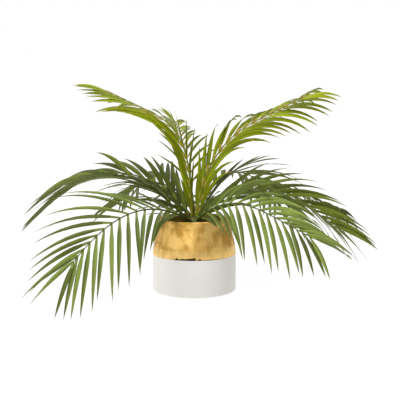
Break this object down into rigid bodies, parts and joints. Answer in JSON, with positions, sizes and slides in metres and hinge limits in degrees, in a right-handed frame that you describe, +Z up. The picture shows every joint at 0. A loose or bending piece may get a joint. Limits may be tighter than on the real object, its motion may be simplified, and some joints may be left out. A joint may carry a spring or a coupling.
{
  "type": "potted artificial palm",
  "caption": "Artificial palm with arching feathered fronds growing from one short stalk in a round ceramic planter, glazed white below and metallic gold above.",
  "frame": {"origin": "centre of the planter's flat underside, where it rests", "axes": "+Z up along the planter's axis, -Y towards the side that the picture shows, +X to the picture's right"},
  "size_m": [0.85, 0.8175, 0.4659],
  "materials": {
    "white_ceramic": "smooth satin white glaze",
    "gold_glaze": "hand-laid metallic gold glaze, glossy, with uneven brushed patches",
    "moss": "dry dyed moss over a light foam filling",
    "stalk": "fibrous wrapped stalk",
    "young_frond": "satin moulded leaf, bright yellow-green",
    "mature_frond": "satin moulded leaf, mid to dark green"
  },
  "bodies": {
    "root": {"planter": "white_ceramic", "gold_glaze": "gold_glaze", "moss_filler": "moss", "crown_stalk": "stalk", "frond_upper_left_inner": "young_frond", "frond_upper_left_outer": "young_frond", "frond_upper_right_inner": "young_frond", "frond_upper_right_outer": "young_frond", "frond_left_inner": "mature_frond", "frond_left_outer": "mature_frond", "frond_front_left_inner": "mature_frond", "frond_front_left_outer": "mature_frond", "frond_front_right_inner": "mature_frond", "frond_front_right_outer": "mature_frond", "frond_right_inner": "mature_frond", "frond_right_outer": "mature_frond", "frond_back_upright_inner": "young_frond", "frond_back_upright_outer": "young_frond", "frond_back_right_inner": "mature_frond", "frond_back_right_outer": "mature_frond", "frond_back_left_inner": "mature_frond", "frond_back_left_outer": "mature_frond", "frond_right_behind_inner": "mature_frond", "frond_right_behind_outer": "mature_frond", "frond_left_low_inner": "mature_frond", "frond_left_low_outer": "mature_frond", "frond_back_low_inner": "mature_frond", "frond_back_low_outer": "mature_frond"}
  },
  "joints": []
}
